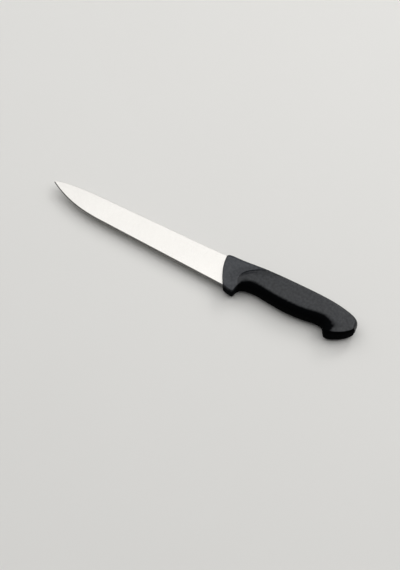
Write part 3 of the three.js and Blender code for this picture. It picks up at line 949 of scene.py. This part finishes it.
def satin_steel(finish):
    """Steel ground across the blade: fine lines from spine to edge in roughness and bump, a darker bevel."""
    nodes = Nodes("satin steel")
    base = np.array(finish.steel)
    lines = nodes.noise(scale=40, detail=3, axes=(160, 2, 2))
    clouds = nodes.noise(scale=25, detail=2)
    both = nodes.add("ShaderNodeMix", data_type="RGBA")
    nodes.join(nodes.painted_shade_share(), both.inputs["Factor"])
    nodes.join(nodes.tint(clouds, base, dark=0.98, light=1.01), both.inputs["A"])
    # Painted shade: the bevel in the steel's colour darkened
    both.inputs["B"].default_value = (*base * finish.bevel_shade, 1)
    nodes.join(both.outputs["Result"], nodes.shader.inputs["Base Color"])
    rough = nodes.spread(lines, finish.steel_rough - 0.04, finish.steel_rough + 0.04)
    nodes.join(rough, nodes.shader.inputs["Roughness"])
    nodes.bump(lines, depth=0.000004, strength=0.35)
    nodes.shader.inputs["Metallic"].default_value = 1
    return nodes.material


def moulded_plastic(name, finish, base, rough, shine, grain_depth):
    """Moulded plastic: satin with a fine grain and slow changes of tone, mixed with a dark matt finish.

    The matt finish shows by the points' shares of it, plus a little in small patches.
    """
    nodes = Nodes(name)
    base = np.array(base)
    clouds = nodes.noise(scale=60, detail=3)
    grain = nodes.noise(scale=2600, detail=2)
    patches = nodes.noise(scale=420, detail=3)
    nodes.join(nodes.tint(clouds, base, dark=0.9, light=1.12), nodes.shader.inputs["Base Color"])
    nodes.join(nodes.spread(clouds, rough - 0.03, rough + 0.03), nodes.shader.inputs["Roughness"])
    nodes.bump(grain, depth=grain_depth, strength=0.5)
    nodes.shader.inputs["Specular IOR Level"].default_value = shine
    # Painted shade: a darker, matt copy of the plastic
    darker = nodes.add("ShaderNodeBsdfPrincipled")
    darker.inputs["Base Color"].default_value = (*base * finish.shade_tone, 1)
    darker.inputs["Roughness"].default_value = finish.shade_rough
    darker.inputs["Specular IOR Level"].default_value = shine * finish.shade_shine
    # Share of the painted shade, plus small matt patches at random
    shade_share = nodes.add("ShaderNodeMath", operation="ADD", use_clamp=True)
    nodes.join(nodes.painted_shade_share(), shade_share.inputs[0])
    nodes.join(nodes.spread(patches, 0, finish.mottle), shade_share.inputs[1])
    both = nodes.add("ShaderNodeMixShader")
    nodes.join(shade_share.outputs["Value"], both.inputs["Fac"])
    nodes.join(nodes.shader.outputs["BSDF"], both.inputs[1])
    nodes.join(darker.outputs["BSDF"], both.inputs[2])
    nodes.join(both.outputs["Shader"], nodes.tree.nodes["Material Output"].inputs["Surface"])
    return nodes.material


def pale_floor(stage):
    """Matt pale floor with hardly visible clouds."""
    nodes = Nodes("pale floor")
    base = np.array(stage.floor)
    clouds = nodes.noise(scale=6, detail=3)
    nodes.join(nodes.tint(clouds, base, dark=0.99, light=1), nodes.shader.inputs["Base Color"])
    nodes.shader.inputs["Roughness"].default_value = 0.9
    nodes.shader.inputs["Specular IOR Level"].default_value = 0.1
    return nodes.material


class KNIFE_OT_blade(bpy.types.Operator):
    """Makes the ground steel blade with its tang"""

    bl_idname = "knife.blade"
    bl_label = "Blade"

    def execute(self, context):
        scene = context.scene
        rings = blade_surface(scene.knife_blade, scene.knife_handle)
        piece = ring_object("steel_blade", rings, scene.knife_handle, bevel_shares(rings))
        dress(piece, "blade", satin_steel(scene.knife_finish))
        return {"FINISHED"}


class KNIFE_OT_collar(bpy.types.Operator):
    """Makes the hard plastic collar with its guard and the bar that it carries inside the grip"""

    bl_idname = "knife.collar"
    bl_label = "Collar and core"

    def execute(self, context):
        scene = context.scene
        finish = scene.knife_finish
        seam = scene.knife_seam
        rings = core_surface(scene.knife_blade, scene.knife_handle, seam)
        # Behind the seam's ring come those of the rear face and of the bar
        seam_ring = len(rings) - 1 - CAP_STEPS - (BAR_STEPS + 1)
        like_toe = np.ones(len(rings))
        shade_share = seam_shade_shares(rings, seam_ring, seam.shade_share, seam.collar_run)
        # Painted shade on the belly and beside the seam
        darker = np.maximum(belly_shade_shares(finish, like_toe), shade_share)
        piece = ring_object("hard_collar", rings, scene.knife_handle, darker)
        plastic = moulded_plastic(
            "hard plastic", finish, finish.hard, finish.hard_rough, finish.hard_shine, finish.hard_grain
        )
        dress(piece, "handle_core", plastic)
        return {"FINISHED"}


class KNIFE_OT_grip(bpy.types.Operator):
    """Makes the soft grip with its finger hollow, beak and butt"""

    bl_idname = "knife.grip"
    bl_label = "Soft grip"

    def execute(self, context):
        scene = context.scene
        finish = scene.knife_finish
        seam = scene.knife_seam
        rings = grip_surface(scene.knife_blade, scene.knife_handle, seam)
        # In front of the seam's ring come those of the bar's room and of the front face
        seam_ring = BAR_STEPS + 1 + CAP_STEPS
        past_seam = (np.arange(len(rings)) - seam_ring) / GRIP_STEPS
        like_toe = 1 - smoothstep(past_seam, 0, finish.toe_fade)
        shade_share = seam_shade_shares(rings, seam_ring, seam.shade_share, seam.shade_run)
        # Painted shade on the belly and beside the seam
        darker = np.maximum(belly_shade_shares(finish, like_toe), shade_share)
        piece = ring_object("grip_skin", rings, scene.knife_handle, darker)
        plastic = moulded_plastic(
            "soft plastic", finish, finish.soft, finish.soft_rough, finish.soft_shine, finish.soft_grain
        )
        dress(piece, "soft_grip", plastic)
        return {"FINISHED"}


def make_floor(stage):
    """A large square floor under the knife."""
    reach = stage.floor_reach
    mesh = bpy.data.meshes.new("floor")
    corners = [(-reach, -reach, 0), (reach, -reach, 0), (reach, reach, 0), (-reach, reach, 0)]
    mesh.from_pydata(corners, [], [(0, 1, 2, 3)])
    mesh.materials.append(pale_floor(stage))
    floor = bpy.data.objects.new("floor", mesh)
    bpy.context.scene.collection.objects.link(floor)


def direction(azimuth, elevation):
    """Unit vector towards a place round and above the knife, with azimuth 0 at the front."""
    level = math.cos(elevation)
    return Vector((math.sin(azimuth) * level, -math.cos(azimuth) * level, math.sin(elevation)))


def make_camera(stage, handle):
    """Camera at the angle of the photograph."""
    origin = Vector(handle_origin(handle))
    target = origin - Vector((stage.ahead, stage.below, 0))
    back = direction(stage.azimuth, stage.elevation)
    data = bpy.data.cameras.new("camera")
    data.lens = stage.lens
    camera = bpy.data.objects.new("camera", data)
    camera.location = target + back * stage.distance
    camera.rotation_euler = (-back).to_track_quat("-Z", "Y").to_euler()
    bpy.context.scene.collection.objects.link(camera)
    bpy.context.scene.camera = camera


def make_lamp(name, lamp, stage):
    """A soft rectangular lamp that faces the knife. Its power is its radiance times pi times its area."""
    towards = direction(stage.azimuth + math.pi + lamp.azimuth, lamp.elevation)
    data = bpy.data.lights.new(name, "AREA")
    data.shape = "RECTANGLE"
    data.size = lamp.width
    data.size_y = lamp.depth
    data.energy = lamp.radiance * math.pi * lamp.width * lamp.depth
    piece = bpy.data.objects.new(name, data)
    piece.location = towards * stage.lamp_distance
    piece.rotation_euler = (-towards).to_track_quat("-Z", "Y").to_euler()
    piece.visible_camera = False
    bpy.context.scene.collection.objects.link(piece)


def make_room(stage):
    """A dim even room round the stage."""
    world = bpy.data.worlds.new("room")
    world.use_nodes = True
    world.node_tree.nodes["Background"].inputs["Color"].default_value = (1, 1, 1, 1)
    world.node_tree.nodes["Background"].inputs["Strength"].default_value = stage.fill
    bpy.context.scene.world = world


class KNIFE_OT_stage(bpy.types.Operator):
    """Makes the floor, the light and the camera"""

    bl_idname = "knife.stage"
    bl_label = "Stage"

    def execute(self, context):
        scene = context.scene
        make_floor(scene.knife_stage)
        make_camera(scene.knife_stage, scene.knife_handle)
        make_room(scene.knife_stage)
        for place in ("back", "top", "side", "rim"):
            make_lamp(f"{place} lamp", getattr(scene, f"knife_{place}_lamp"), scene.knife_stage)
        scene.view_settings.view_transform = "Standard"
        return {"FINISHED"}


class KNIFE_PT_sidebar(bpy.types.Panel):
    """Lists the pieces of the knife and the stage, and then their sizes and colours"""

    bl_label = "Chopping knife"
    bl_space_type = "VIEW_3D"
    bl_region_type = "UI"
    bl_category = "Knife"

    def draw(self, context):
        for operator in OPERATORS:
            self.layout.operator(operator.bl_idname)
        for name, group in GROUPS.items():
            box = self.layout.box()
            box.label(text=name.replace("_", " ").capitalize())
            for field in group.__annotations__:
                box.prop(getattr(context.scene, name), field)


GROUPS = {
    "knife_blade": BladeSizes,
    "knife_handle": HandleSizes,
    "knife_seam": SeamSizes,
    "knife_finish": Finishes,
    "knife_stage": StageSettings,
    "knife_back_lamp": BackLamp,
    "knife_top_lamp": TopLamp,
    "knife_side_lamp": SideLamp,
    "knife_rim_lamp": RimLamp,
}
OPERATORS = (KNIFE_OT_blade, KNIFE_OT_collar, KNIFE_OT_grip, KNIFE_OT_stage)
CLASSES = (*GROUPS.values(), *OPERATORS, KNIFE_PT_sidebar)


def register():
    """Registers the classes, and gives the scene a property for each group of sizes and colours."""
    for item in CLASSES:
        bpy.utils.register_class(item)
    for name, group in GROUPS.items():
        setattr(bpy.types.Scene, name, bpy.props.PointerProperty(type=group))


def unregister():
    """Takes the properties and the classes away again."""
    for name in GROUPS:
        delattr(bpy.types.Scene, name)
    for item in reversed(CLASSES):
        bpy.utils.unregister_class(item)


def main():
    """Registers the classes, makes the pieces and the stage, and writes both boxes."""
    register()
    bpy.ops.knife.blade()
    bpy.ops.knife.collar()
    bpy.ops.knife.grip()
    bpy.ops.knife.stage()


if __name__ == "__main__":
    main()
